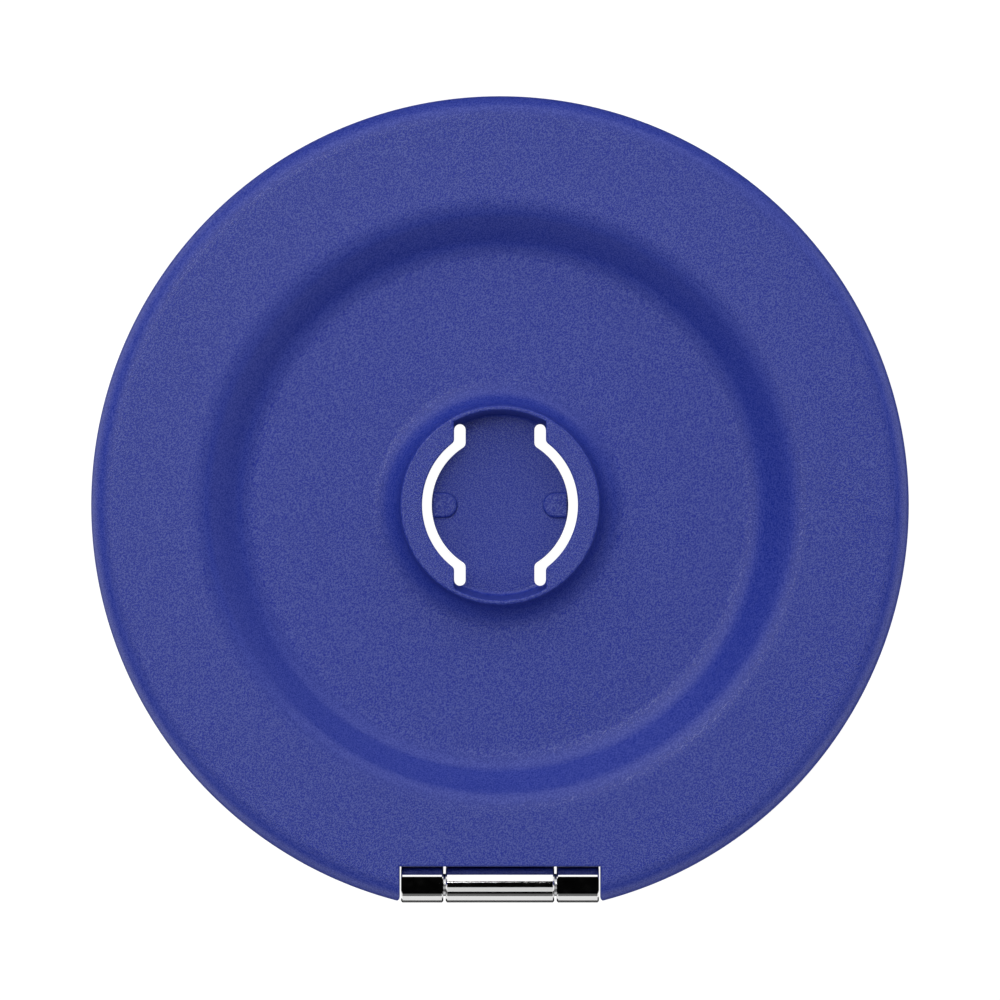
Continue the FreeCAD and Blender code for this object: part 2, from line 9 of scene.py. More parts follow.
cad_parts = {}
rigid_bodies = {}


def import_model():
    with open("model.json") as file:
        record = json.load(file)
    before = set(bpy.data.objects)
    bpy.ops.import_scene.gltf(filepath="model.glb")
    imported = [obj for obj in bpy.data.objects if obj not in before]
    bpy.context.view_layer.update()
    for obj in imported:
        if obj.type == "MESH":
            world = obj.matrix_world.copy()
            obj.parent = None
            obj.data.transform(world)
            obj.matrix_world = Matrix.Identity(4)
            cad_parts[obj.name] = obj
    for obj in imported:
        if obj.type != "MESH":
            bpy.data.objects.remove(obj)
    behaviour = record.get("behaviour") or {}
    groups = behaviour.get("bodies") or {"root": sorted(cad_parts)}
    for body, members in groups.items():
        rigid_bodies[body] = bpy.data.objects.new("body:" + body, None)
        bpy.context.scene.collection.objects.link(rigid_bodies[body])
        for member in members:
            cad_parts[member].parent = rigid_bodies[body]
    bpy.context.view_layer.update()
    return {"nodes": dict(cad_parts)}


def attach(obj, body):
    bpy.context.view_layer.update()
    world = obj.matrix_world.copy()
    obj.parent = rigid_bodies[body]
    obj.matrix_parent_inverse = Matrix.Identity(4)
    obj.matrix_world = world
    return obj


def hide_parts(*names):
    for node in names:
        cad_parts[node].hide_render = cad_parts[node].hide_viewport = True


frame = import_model()


# Studio: the stand lies on its phone pad on a white light table, seen from straight above.
# A bright softbox hangs beyond its top edge, a little to the left, in front of a wide diffuser. A dimmer
# softbox and low cards stand at the hinge's side and at both ends, and make the bands in the chrome.
MM = 0.001
TABLE_HALF, TABLE_LEVEL, TABLE_GLOW = 2.0, -0.05 * MM, 1.0
LIGHT_DISTANCE = 0.6
FRAME_WIDTH, FRAME_MIDDLE_Y = 72.04 * MM, 0.36 * MM
FACE_LEVEL, CAMERA_DISTANCE = 6.0 * MM, 1.0


class NodeTree:
    """A node tree, with a short way to add a node to it."""

    def __init__(self, tree):
        self.tree = tree

    def node(self, kind, links=None, **settings):
        """Adds a node. Links are {its input: a value or another node's output}."""
        node = self.tree.nodes.new(kind)
        for setting, value in settings.items():
            setattr(node, setting, value)
        for socket, source in (links or {}).items():
            if isinstance(source, bpy.types.NodeSocket):
                self.tree.links.new(source, node.inputs[socket])
            else:
                node.inputs[socket].default_value = source
        return node.outputs


class Finish(NodeTree):
    """A material, with ways to vary its Principled shader over the surface."""

    def __init__(self, name, colour, roughness, metal=0.0):
        self.material = bpy.data.materials.new(name)
        self.material.use_nodes = True
        super().__init__(self.material.node_tree)
        self.shader = self.tree.nodes["Principled BSDF"].inputs
        self.shader["Base Color"].default_value = (*colour, 1)
        self.shader["Roughness"].default_value = roughness
        self.shader["Metallic"].default_value = metal

    def noise(self, size, detail=2.0, stretch=(1, 1, 1), turn=0.0):
        """A height from 0 to 1 that changes over about a size in millimetres, drawn out along turned axes."""
        mapping = {
            "Vector": self.node("ShaderNodeTexCoord")["Object"],
            "Rotation": (0, 0, math.radians(turn)),
            "Scale": stretch,
        }
        drawn = self.node("ShaderNodeMapping", mapping, vector_type="TEXTURE")[0]
        texture = {"Vector": drawn, "Scale": 1 / (size * MM), "Detail": detail}
        return self.node("ShaderNodeTexNoise", texture)["Fac"]

    def ranged(self, height, low, high, start=0.3, end=0.7):
        """The height, carried over to a range of another value."""
        links = {"Value": height, "From Min": start, "From Max": end, "To Min": low, "To Max": high}
        return self.node("ShaderNodeMapRange", links)[0]

    def vary_roughness(self, height, low, high):
        self.tree.links.new(self.ranged(height, low, high), self.shader["Roughness"])

    def blend(self, share, first, second):
        """A mix of two colours, each given as four values or by another node."""
        return self.node("ShaderNodeMix", {0: share, 6: first, 7: second}, data_type="RGBA")[2]

    def tint(self, height, dark, light):
        """Varies the colour between two by a height."""
        mixed = self.blend(self.ranged(height, 0, 1), (*dark, 1), (*light, 1))
        self.tree.links.new(mixed, self.shader["Base Color"])

    def emboss(self, height, depth, strength=1.0):
        """Raises the surface by a height, up to a depth in millimetres."""
        links = {"Height": height, "Distance": depth * MM, "Strength": strength}
        self.tree.links.new(self.node("ShaderNodeBump", links)[0], self.shader["Normal"])


def put_in_scene(name, data):
    thing = bpy.data.objects.new(name, data)
    bpy.context.scene.collection.objects.link(thing)
    return thing


# The table glows under the stand, and neither the chrome nor the blue mirrors it
white_table = Finish("white_table", colour=(0.1, 0.1, 0.1), roughness=0.9)
white_table.shader["Emission Color"].default_value = (1, 1, 1, 1)
white_table.shader["Emission Strength"].default_value = TABLE_GLOW
table_mesh = bpy.data.meshes.new("light_table")
table_mesh.from_pydata(
    [(x * TABLE_HALF, y * TABLE_HALF, TABLE_LEVEL) for x, y in ((-1, -1), (1, -1), (1, 1), (-1, 1))],
    [], [(0, 1, 2, 3)],
)
table_mesh.materials.append(white_table.material)
light_table = put_in_scene("light_table", table_mesh)
light_table.visible_glossy = False


def softbox(name, turn, tilt, length, width, brightness):
    """A soft light that looks at the stand, tilted from overhead towards a compass turn from +Y."""
    light = bpy.data.lights.new(name, "AREA")
    light.shape = "RECTANGLE"
    light.size, light.size_y = length, width
    light.energy = brightness * math.pi * length * width
    lamp = put_in_scene(name, light)
    lamp.rotation_euler = (-math.radians(tilt), 0, math.radians(turn))
    lamp.location = lamp.rotation_euler.to_matrix() @ Vector((0, 0, LIGHT_DISTANCE))


softbox("key_softbox", turn=50, tilt=22, length=0.28, width=0.24, brightness=6.4)
softbox("top_diffuser", turn=0, tilt=49, length=1.2, width=0.58, brightness=1.3)
softbox("hinge_side_softbox", turn=180, tilt=31, length=1.4, width=0.3, brightness=0.75)
softbox("hinge_side_card", turn=180, tilt=100, length=1.6, width=1.0, brightness=0.15)
softbox("hinge_side_strip", turn=180, tilt=98, length=1.6, width=0.44, brightness=0.75)
softbox("left_fill", turn=90, tilt=55, length=0.9, width=0.6, brightness=0.16)
softbox("left_card", turn=90, tilt=112, length=1.2, width=0.6, brightness=1.0)
softbox("right_fill", turn=-90, tilt=45, length=0.9, width=0.4, brightness=0.08)
softbox("right_card", turn=-90, tilt=98, length=1.2, width=0.6, brightness=1.0)

world = bpy.data.worlds.new("dark_studio")
world.use_nodes = True
world.node_tree.nodes["Background"].inputs["Color"].default_value = (0.001, 0.001, 0.001, 1)
bpy.context.scene.world = world
bpy.context.scene.view_settings.view_transform = "Standard"

camera_data = bpy.data.cameras.new("long_lens")
camera_data.lens = camera_data.sensor_width * CAMERA_DISTANCE / FRAME_WIDTH
camera = put_in_scene("long_lens", camera_data)
camera.location = (0, FRAME_MIDDLE_Y, FACE_LEVEL + CAMERA_DISTANCE)
bpy.context.scene.camera = camera


# Stand disc: one injection moulding in blue plastic with a fine leather grain on its tool.
# Its profile is turned about Z. The socket, its two windows, the hinge notch, the keeper's channel in
# the back and the recess for the hinge leaf are cut from it, and two detents stand on the bridge.
DISC_RADIUS, DISC_BACK, DISC_FACE = 29.5, 3.2, 6.0
BACK_EDGE_ROUND, FACE_EDGE_ROUND = 0.4, 1.6
DISH_FLOOR, DISH_UNDERSIDE, UNDERSIDE_ROUND = 3.4, 2.0, 1.0
BACK_STEP_RADIUS, BACK_STEP_ROUND = 20.56, 0.5
BOSS_RADIUS, BOSS_TOP, BOSS_FOOT_ROUND, BOSS_EDGE_ROUND = 7.2, 5.8, 2.0, 0.18
TURN_SEGMENTS = 288


def arc(centre, radius, start, end, steps):
    """Points on an arc, from one angle to another in degrees."""
    angles = [math.radians(start + (end - start) * step / steps) for step in range(steps + 1)]
    return [(centre[0] + radius * math.cos(a), centre[1] + radius * math.sin(a)) for a in angles]


def filleted(corners, step=7):
    """The open line through corners (across, up, radius), each rounded by its radius in steps of degrees."""
    points = [Vector(corners[0][:2])]
    for before, corner, after in zip(corners, corners[1:], corners[2:]):
        here, radius = Vector(corner[:2]), corner[2]
        back = (Vector(before[:2]) - here).normalized()
        on = (Vector(after[:2]) - here).normalized()
        bend = math.pi - back.angle(on)
        run = radius * math.tan(bend / 2)
        centre = here + (back + on).normalized() * radius / math.cos(bend / 2)
        first, last = here + back * run - centre, here + on * run - centre
        turn = math.atan2(first.cross(last), first.dot(last))
        steps = max(2, round(math.degrees(bend) / step))
        for index in range(steps + 1):
            points.append(centre + Matrix.Rotation(turn * index / steps, 2) @ first)
    points.append(Vector(corners[-1][:2]))
    return [(point.x, point.y) for point in points]


def stacked(name, loops):
    """A closed solid through loops of (x, y, z) points that have as many points each."""
    made = bmesh.new()
    rings = [[made.verts.new(point) for point in loop] for loop in loops]
    for low, high in zip(rings, rings[1:]):
        for index in range(len(low)):
            made.faces.new((low[index - 1], low[index], high[index], high[index - 1]))
    made.faces.new(rings[0])
    made.faces.new(rings[-1])
    bmesh.ops.remove_doubles(made, verts=made.verts, dist=1e-4)
    bmesh.ops.recalc_face_normals(made, faces=made.faces)
    mesh = bpy.data.meshes.new(name)
    made.to_mesh(mesh)
    made.free()
    return bpy.data.objects.new(name, mesh)


def at_level(outline, level):
    return [(x, y, level) for x, y in outline]


# The dish wall is a short cone that runs into the rim and the floor by two equal arcs
RIM_RADIUS, FLOOR_RADIUS, WALL_SLOPE = 22.3, 17.65, math.radians(44)
wall_middle = (RIM_RADIUS + FLOOR_RADIUS) / 2
wall_corner = (DISC_FACE - DISH_FLOOR) / 2 / math.tan(WALL_SLOPE)
wall_arc = (RIM_RADIUS - wall_middle - wall_corner) / math.tan(WALL_SLOPE / 2)
disc_profile = filleted([
    (0, DISH_UNDERSIDE),
    (FLOOR_RADIUS, DISH_UNDERSIDE, UNDERSIDE_ROUND),
    (BACK_STEP_RADIUS, DISC_BACK, BACK_STEP_ROUND),
    (DISC_RADIUS, DISC_BACK, BACK_EDGE_ROUND),
    (DISC_RADIUS, DISC_FACE, FACE_EDGE_ROUND),
    (wall_middle + wall_corner, DISC_FACE, wall_arc),
    (wall_middle - wall_corner, DISH_FLOOR, wall_arc),
    (BOSS_RADIUS, DISH_FLOOR, BOSS_FOOT_ROUND),
    (BOSS_RADIUS, BOSS_TOP, BOSS_EDGE_ROUND),
    (0, BOSS_TOP),
])

# Notch for the hinge, with eased edges at the front and where it runs out of the rim
NOTCH_HALF, NOTCH_WALL, NOTCH_EASE = 7.24, -26.05, 0.14
NOTCH_RUNOUT, RUNOUT_START = 0.3, -28.27
NOTCH_FLARE, NOTCH_END = 2, -32
BELOW_DISC, ABOVE_DISC = 1, 7


def notch_outline(grown):
    half, wall = NOTCH_HALF + grown, NOTCH_WALL + grown
    side = arc((half + NOTCH_RUNOUT, RUNOUT_START), NOTCH_RUNOUT, 180, 270, 6)
    flare = half + NOTCH_FLARE
    right = [(half, wall), *side, (flare, RUNOUT_START - NOTCH_RUNOUT), (flare, NOTCH_END)]
    return right + [(-x, y) for x, y in reversed(right)]


def eased_levels(top, ease, steps=5):
    """(level, how far the edge stands back) up a rounded edge."""
    turns = [math.pi / 2 * step / steps for step in range(steps + 1)]
    return [(top - ease + ease * math.sin(turn), ease - ease * math.cos(turn)) for turn in turns]


def eased_solid(name, outline, levels):
    """A solid through levels, with the outline that a function gives for each level's edge."""
    return stacked(name, [at_level(outline(stands_back), level) for level, stands_back in levels])


notch_levels = [(BELOW_DISC, 0), *eased_levels(DISC_FACE, NOTCH_EASE), (ABOVE_DISC, NOTCH_EASE)]
notch_tool = eased_solid("notch_tool", notch_outline, notch_levels)

# Socket mouth between the two lips, with its drafted wall, and the wider room below the lips
MOUTH_HALF, LIP_RADIUS, LIP_CORNER, LIP_UNDERSIDE, LIP_EASE = 3.31, 5.62, 0.4, 4.7, 0.13
SOCKET_FLOOR, FLOOR_WALL_RADIUS, MOUTH_WALL_RADIUS, FLOOR_ROUND = 3.2, 6.52, 6.87, 0.35
WALL_EASE_SHARE = 0.7
MOUTH_LOW, MOUTH_HIGH = LIP_UNDERSIDE - 0.3, BOSS_TOP + 1


def socket_wall(level):
    share = (level - SOCKET_FLOOR) / (BOSS_TOP - SOCKET_FLOOR)
    return FLOOR_WALL_RADIUS + (MOUTH_WALL_RADIUS - FLOOR_WALL_RADIUS) * share


def mouth_outline(wall, grown):
    """The mouth seen from the front: the wall's circle, pinched by the lips."""
    half, lip, corner = MOUTH_HALF + grown, LIP_RADIUS + grown, LIP_CORNER - grown
    centre_x = half + corner
    centre = (centre_x, math.sqrt((lip + corner) ** 2 - centre_x**2))
    lean = math.degrees(math.atan2(centre[1], centre_x))
    wall_lean = math.degrees(math.acos(half / wall))
    quarter = arc((0, 0), lip, 0, lean, 14) + arc(centre, corner, lean + 180, 180, 5)
    quarter += arc((0, 0), wall, wall_lean, 90, 12)
    half_way = quarter + [(-x, y) for x, y in reversed(quarter[:-1])]
    return half_way + [(x, -y) for x, y in reversed(half_way[1:-1])]


mouth_tool = stacked("mouth_tool", [
    at_level(mouth_outline(socket_wall(min(level, BOSS_TOP)) + WALL_EASE_SHARE * grown, grown), level)
    for level, grown in [(MOUTH_LOW, 0), *eased_levels(BOSS_TOP, LIP_EASE), (MOUTH_HIGH, LIP_EASE)]
])
room_profile = filleted([
    (0, SOCKET_FLOOR),
    (FLOOR_WALL_RADIUS, SOCKET_FLOOR, FLOOR_ROUND),
    (socket_wall(LIP_UNDERSIDE), LIP_UNDERSIDE),
])[1:]
room_tool = stacked("room_tool", [
    at_level(arc((0, 0), across, 0, 358, 179), level) for across, level in room_profile
])

# Windows in the socket's floor, which leave a bridge across it
BRIDGE_HALF, BRIDGE_RADIUS, BRIDGE_CORNER, BRIDGE_EASE = 2.485, 4.935, 0.4, 0.05
SLOT_MIDDLE, SLOT_ROUND, WINDOW_RADIUS = 2.8975, 0.4125, 6.55
WINDOW_TOP = SOCKET_FLOOR + 0.9
SIDES = (("left", -1), ("right", 1))


def window_outline(side, grown):
    """One window: the bridge's edge, a round slot end, and the socket's wall."""
    shoulder = math.sqrt(FLOOR_WALL_RADIUS**2 - SLOT_MIDDLE**2) - SLOT_ROUND
    half, bridge, corner = BRIDGE_HALF - grown, BRIDGE_RADIUS - grown, BRIDGE_CORNER + grown
    centre_x = half + corner
    centre = (centre_x, math.sqrt((bridge + corner) ** 2 - centre_x**2))
    lean = math.degrees(math.atan2(centre[1], centre_x))
    wall_lean = math.degrees(math.asin(shoulder / WINDOW_RADIUS))
    upper = arc((0, 0), bridge, 0, lean, 14) + arc(centre, corner, lean + 180, 180, 5)
    upper += arc((SLOT_MIDDLE, shoulder), SLOT_ROUND + grown, 180, 0, 14)
    upper += arc((0, 0), WINDOW_RADIUS, wall_lean, 0, 14)
    whole = upper + [(x, -y) for x, y in reversed(upper[1:-1])]
    return [(side * x, y) for x, y in whole]


window_levels = [(BELOW_DISC, 0), *eased_levels(SOCKET_FLOOR, BRIDGE_EASE, 3), (WINDOW_TOP, BRIDGE_EASE)]
window_tools = [
    eased_solid(f"window_tool_{label}", partial(window_outline, side), window_levels)
    for label, side in SIDES
]

# Stepped channel in the back for the keeper and its cover, left solid at the hinge
CHANNEL_STEPS, CHANNEL_HALF_SWEEP = 150, 160.0
STEEL_INNER, STEEL_OUTER = 22.95, 27.05
KEEPER_COVER_INNER, KEEPER_COVER_OUTER = 22.5, 27.5
KEEPER_LEDGE, KEEPER_TOP, KEEPER_LOW = 4.0, 4.6, 2.5


def channel(name, cover_inner, cover_outer, low, ledge, top):
    """A tool for the channel of a ring of steel and of the wider cover under it, swept about Z."""
    section = [
        (cover_inner, low), (cover_outer, low), (cover_outer, ledge), (STEEL_OUTER, ledge),
        (STEEL_OUTER, top), (STEEL_INNER, top), (STEEL_INNER, ledge), (cover_inner, ledge),
    ]
    loops = []
    for step in range(CHANNEL_STEPS + 1):
        turn = math.radians(90 + CHANNEL_HALF_SWEEP * (2 * step / CHANNEL_STEPS - 1))
        loops.append([(across * math.cos(turn), across * math.sin(turn), up) for across, up in section])
    return stacked(name, loops)


keeper_channel = channel(
    "keeper_channel", KEEPER_COVER_INNER, KEEPER_COVER_OUTER, KEEPER_LOW, KEEPER_LEDGE, KEEPER_TOP
)

# Recess for the hinge leaf, and the holes for its two screws
RECESS_HALF, RECESS_INNER, RECESS_END, RECESS_LOW, RECESS_TOP = 7.18, -22.8, -29, 2, 3.8
SCREW_X, SCREW_Y, PILOT_RADIUS, PILOT_LOW, PILOT_TOP = 4.6, -24.45, 0.52, 3.0, 5.3


def box_outline(half, low, high):
    return [(half, low), (half, high), (-half, high), (-half, low)]


def leaf_tools(low, high, pilot_low, pilot_high):
    """The recess of a hinge leaf and its two screw holes, each between two levels."""
    outline = box_outline(RECESS_HALF, RECESS_END, RECESS_INNER)
    tools = [stacked("recess_tool", [at_level(outline, low), at_level(outline, high)])]
    for label, side in SIDES:
        outline = arc((side * SCREW_X, SCREW_Y), PILOT_RADIUS, 0, 345, 23)
        levels = [at_level(outline, pilot_low), at_level(outline, pilot_high)]
        tools.append(stacked(f"pilot_tool_{label}", levels))
    return tools


# Detents that the grip's foot clicks over, one at each window
DETENT_ROUND, DETENT_TIP, DETENT_BACK = 0.935, 3.065, 4.8
DETENT_ROOT, DETENT_TOP, DETENT_EASE = SOCKET_FLOOR - 0.4, 3.5, 0.24


def detent_outline(side, shrunk):
    half = DETENT_ROUND - shrunk
    outline = arc((DETENT_TIP + DETENT_ROUND, 0), half, 90, 270, 20)
    return [(side * x, y) for x, y in [*outline, (DETENT_BACK, -half), (DETENT_BACK, half)]]


detent_levels = [(DETENT_ROOT, 0), *eased_levels(DETENT_TOP, DETENT_EASE, 4)]
detents = [
    eased_solid(f"detent_{label}", partial(detent_outline, side), detent_levels)
    for label, side in SIDES
]


class ShapeTree(NodeTree):
    """A Geometry Nodes tree with named inputs."""

    CREASE = math.radians(40)

    def __init__(self, name, **inputs):
        super().__init__(bpy.data.node_groups.new(name, "GeometryNodeTree"))
        sockets = self.tree.interface
        sockets.new_socket("Geometry", in_out="INPUT", socket_type="NodeSocketGeometry")
        self.ids = {
            label: sockets.new_socket(label, in_out="INPUT", socket_type=f"NodeSocket{kind}").identifier
            for label, kind in inputs.items()
        }
        sockets.new_socket("Geometry", in_out="OUTPUT", socket_type="NodeSocketGeometry")
        self.given = self.tree.nodes.new("NodeGroupInput").outputs
        self.result = self.tree.nodes.new("NodeGroupOutput").inputs[0]

    def math(self, operation, first, second):
        return self.node("ShaderNodeMath", {0: first, 1: second}, operation=operation)[0]

    def close(self, geometry):
        """Ends the tree: smooth shading with sharp creases, real faces, and the material."""
        smooth = self.node("GeometryNodeSetShadeSmooth", {"Geometry": geometry})[0]
        edge_angle = self.node("GeometryNodeInputMeshEdgeAngle")[0]
        is_crease = self.math("GREATER_THAN", edge_angle, self.CREASE)
        creases = {"Geometry": smooth, "Selection": is_crease, "Shade Smooth": False}
        creased = self.node("GeometryNodeSetShadeSmooth", creases, domain="EDGE")[0]
        real = self.node("GeometryNodeRealizeInstances", {"Geometry": creased})[0]
        finish = {"Geometry": real, "Material": self.given["Material"]}
        self.tree.links.new(self.node("GeometryNodeSetMaterial", finish)[0], self.result)


# The tree turns a profile's points about Z, cuts the tools from that, and adds solids to it
turned_tree = ShapeTree(
    "turned_and_cut",
    Points="Int", Segments="Int", Tools="Collection", Additions="Collection", Material="Material",
)
given = turned_tree.given
columns = turned_tree.math("ADD", given["Segments"], 1)
grid = turned_tree.node("GeometryNodeMeshGrid", {"Vertices X": columns, "Vertices Y": given["Points"]})[0]
place = turned_tree.node("GeometryNodeInputIndex")[0]
row = turned_tree.math("MODULO", place, given["Points"])
column = turned_tree.math("FLOOR", turned_tree.math("DIVIDE", place, given["Points"]), 0)
turn = turned_tree.math("MULTIPLY", turned_tree.math("DIVIDE", column, given["Segments"]), -2 * math.pi)
profile_point = turned_tree.node("GeometryNodeSampleIndex", {
    "Geometry": given["Geometry"], "Index": row, "Value": turned_tree.node("GeometryNodeInputPosition")[0],
}, data_type="FLOAT_VECTOR")[0]
turned_point = turned_tree.node(
    "ShaderNodeVectorRotate", {"Vector": profile_point, "Angle": turn}, rotation_type="Z_AXIS"
)[0]
turned_grid = turned_tree.node("GeometryNodeSetPosition", {"Geometry": grid, "Position": turned_point})[0]
closed = turned_tree.node("GeometryNodeMergeByDistance", {"Geometry": turned_grid, "Distance": 1e-4})[0]
real_tools, real_additions = [
    turned_tree.node("GeometryNodeRealizeInstances", {
        "Geometry": turned_tree.node("GeometryNodeCollectionInfo", {"Collection": given[label]})[0],
    })[0]
    for label in ("Tools", "Additions")
]
cut = turned_tree.node(
    "GeometryNodeMeshBoolean", {"Mesh 1": closed, "Mesh 2": real_tools, "Self Intersection": True},
    operation="DIFFERENCE", solver="EXACT",
)[0]
joined = turned_tree.node("GeometryNodeMeshBoolean", {"Mesh 2": cut}, operation="UNION", solver="EXACT")[0]
turned_tree.tree.links.new(real_additions, joined.node.inputs["Mesh 2"])
turned_tree.close(joined)


def shaped(name, tree, points, scale=MM, **inputs):
    """A piece with the plain mesh that a tree makes from points in millimetres, scaled to metres."""
    start = bpy.data.meshes.new(f"{name}_points")
    start.from_pydata(points, [], [])
    worker = put_in_scene(name, start)
    modifier = worker.modifiers.new("shape", "NODES")
    modifier.node_group = tree.tree
    for label, value in inputs.items():
        modifier[tree.ids[label]] = value
    worker.modifiers.new("even_normals", "WEIGHTED_NORMAL").keep_sharp = True
    bpy.context.view_layer.update()
    graph = bpy.context.evaluated_depsgraph_get()
    mesh = bpy.data.meshes.new_from_object(worker.evaluated_get(graph))
    bpy.data.objects.remove(worker)
    mesh.name = name
    mesh.transform(Matrix.Scale(scale, 4))
    return put_in_scene(name, mesh)


def turned(name, profile, finish, tools, additions=(), segments=TURN_SEGMENTS, scale=MM):
    """A piece turned from a profile (across, up), with tools cut from it and solids added to it."""
    groups = {}
    for label, members in (("Tools", tools), ("Additions", additions)):
        groups[label] = bpy.data.collections.new(f"{name}_{label.lower()}")
        for member in members:
            groups[label].objects.link(member)
    points = [(across, 0, up) for across, up in profile]
    return shaped(
        name, turned_tree, points, scale,
        Points=len(points), Segments=segments, Material=finish.material, **groups,
    )


# Fine pebbles in the tool, a little drawn out. Their relief fades on steep slopes, where a moulding is
# drawn out of its tool. The colour has painted shade in the pebbles' pits and painted light on their tops,
# and a paler painted sheen where the surface lies level.
LEATHER_BLUE, LEATHER_ROUGHNESS, ROUGHNESS_SPREAD = (0.020, 0.040, 0.325), 0.40, 0.03
# Pit and top colours: painted shade in the pits and painted light on the tops. The first pair also carries a
# paler painted sheen for level faces.
SHEEN_SHADED_PIT_BLUE, SHEEN_LIT_TOP_BLUE = (0.001, 0.016, 0.318), (0.074, 0.102, 0.406)
WALL_SHADED_PIT_BLUE, WALL_LIT_TOP_BLUE = (0.001, 0.017, 0.270), (0.044, 0.067, 0.380)
PEBBLE_SIZE, PEBBLE_DEPTH, PEBBLE_STRETCH, PEBBLE_TURN = 0.085, 0.025, (1.5, 0.85, 1.02), 45
PEBBLE_FOOT, PEBBLE_TOP = 0.42, 0.58
WALL_FLATNESS, FACE_FLATNESS = 0.955, 0.998
STEEP_FLATNESS, GENTLE_FLATNESS, STEEP_EMBOSS = 0.88, 0.985, 0.12
blue_leather = Finish("blue_leather_grain", LEATHER_BLUE, LEATHER_ROUGHNESS)
pebble_noise = blue_leather.noise(PEBBLE_SIZE, 1.0, PEBBLE_STRETCH, PEBBLE_TURN)
pebbles = blue_leather.ranged(pebble_noise, 0, 1, PEBBLE_FOOT, PEBBLE_TOP)
normal = blue_leather.node("ShaderNodeTexCoord")["Normal"]
upright = blue_leather.node("ShaderNodeSeparateXYZ", {0: normal})["Z"]
flatness = blue_leather.node("ShaderNodeMath", {0: upright}, operation="ABSOLUTE")[0]
# Level faces take the paler pair with its painted sheen, and walls the darker pair. Both paint shade into
# pits and light onto tops.
painted_sheen_and_relief = blue_leather.blend(pebbles, (*SHEEN_SHADED_PIT_BLUE, 1), (*SHEEN_LIT_TOP_BLUE, 1))
wall_painted_relief = blue_leather.blend(pebbles, (*WALL_SHADED_PIT_BLUE, 1), (*WALL_LIT_TOP_BLUE, 1))
# Share of the painted sheen: none at the walls' flatness, full where the surface lies level.
painted_sheen_share = blue_leather.ranged(flatness, 0, 1, WALL_FLATNESS, FACE_FLATNESS)
blue_with_painted_light = blue_leather.blend(painted_sheen_share, wall_painted_relief, painted_sheen_and_relief)
blue_leather.tree.links.new(blue_with_painted_light, blue_leather.shader["Base Color"])
gentle = blue_leather.ranged(flatness, STEEP_EMBOSS, 1, STEEP_FLATNESS, GENTLE_FLATNESS)
blue_leather.emboss(pebbles, PEBBLE_DEPTH, gentle)
blue_leather.vary_roughness(
    blue_leather.noise(0.5), LEATHER_ROUGHNESS - ROUGHNESS_SPREAD, LEATHER_ROUGHNESS + ROUGHNESS_SPREAD
)

stand_disc = turned(
    "stand_disc_moulding", disc_profile, blue_leather,
    tools=[
        notch_tool, mouth_tool, room_tool, *window_tools, keeper_channel,
        *leaf_tools(RECESS_LOW, RECESS_TOP, PILOT_LOW, PILOT_TOP),
    ],
    additions=detents,
)
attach(stand_disc, "stand_leaf")
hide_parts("stand_disc")


# Keeper: a flat steel ring stamped from sheet, which the magnets hold when the stand is shut.
# It lies in the channel in the disc's back, under a cover plate that is glued in flush.
def give_finish(finish, *labels):
    """Gives CAD nodes a finish."""
    for label in labels:
        slots = frame["nodes"][label].data.materials
        slots.clear()
        slots.append(finish.material)


rolled_steel = Finish("rolled_steel", (0.5, 0.5, 0.51), 0.38, metal=1)
rolling_lines = rolled_steel.noise(0.3, detail=4, stretch=(30, 1, 1))
rolled_steel.vary_roughness(rolling_lines, 0.28, 0.45)
rolled_steel.tint(rolled_steel.noise(6), dark=(0.44, 0.44, 0.45), light=(0.54, 0.54, 0.55))
rolled_steel.emboss(rolling_lines, depth=0.004)
give_finish(rolled_steel, "keeper_ring")


# Cover plates: flat rings of the same blue plastic that close the keeper's channel and the magnets'
# channel. Their tool was left with the fine texture of spark erosion, and they are glued in.
blue_spark = Finish("blue_spark_texture", (0.020, 0.039, 0.31), 0.48)
blue_spark.emboss(blue_spark.noise(0.07), depth=0.03)
blue_spark.vary_roughness(blue_spark.noise(0.4), 0.43, 0.53)
blue_spark.tint(blue_spark.noise(2.5), dark=(0.019, 0.037, 0.30), light=(0.021, 0.041, 0.32))
give_finish(blue_spark, "stand_back_cover", "ring_cover")


# Ring housing: the tray that holds the magnets on the phone, moulded in blue with the spark texture.
# It is open towards the phone, with eased edges at its top, and solid where the hinge's leaf is let in.
RING_BORE, RING_RADIUS = 22.2, 28.0
TRAY_BACK, TRAY_TOP, TRAY_BACK_ROUND, TRAY_TOP_ROUND = 0.5, 3.0, 0.05, 0.3
TRAY_NOTCH_HALF, TRAY_NOTCH_EASE, BELOW_TRAY, ABOVE_TRAY = 8.24, 0.12, -1, 4
MAGNET_COVER_INNER, MAGNET_COVER_OUTER = 22.6, 27.4
MAGNET_LOW, MAGNET_LEDGE, MAGNET_TOP = 0, 0.9, 2.3
TRAY_RECESS_LOW, TRAY_PILOT_LOW, TRAY_PILOT_TOP = 2.4, 0.9, 3.5
tray_middle = (RING_BORE + RING_RADIUS) / 2
tray_profile = filleted([
    (tray_middle, TRAY_BACK),
    (RING_RADIUS, TRAY_BACK, TRAY_BACK_ROUND),
    (RING_RADIUS, TRAY_TOP, TRAY_TOP_ROUND),
    (RING_BORE, TRAY_TOP, TRAY_TOP_ROUND),
    (RING_BORE, TRAY_BACK, TRAY_BACK_ROUND),
    (tray_middle, TRAY_BACK),
])


def square_notch(half, wall, grown):
    return box_outline(half + grown, NOTCH_END, wall + grown)


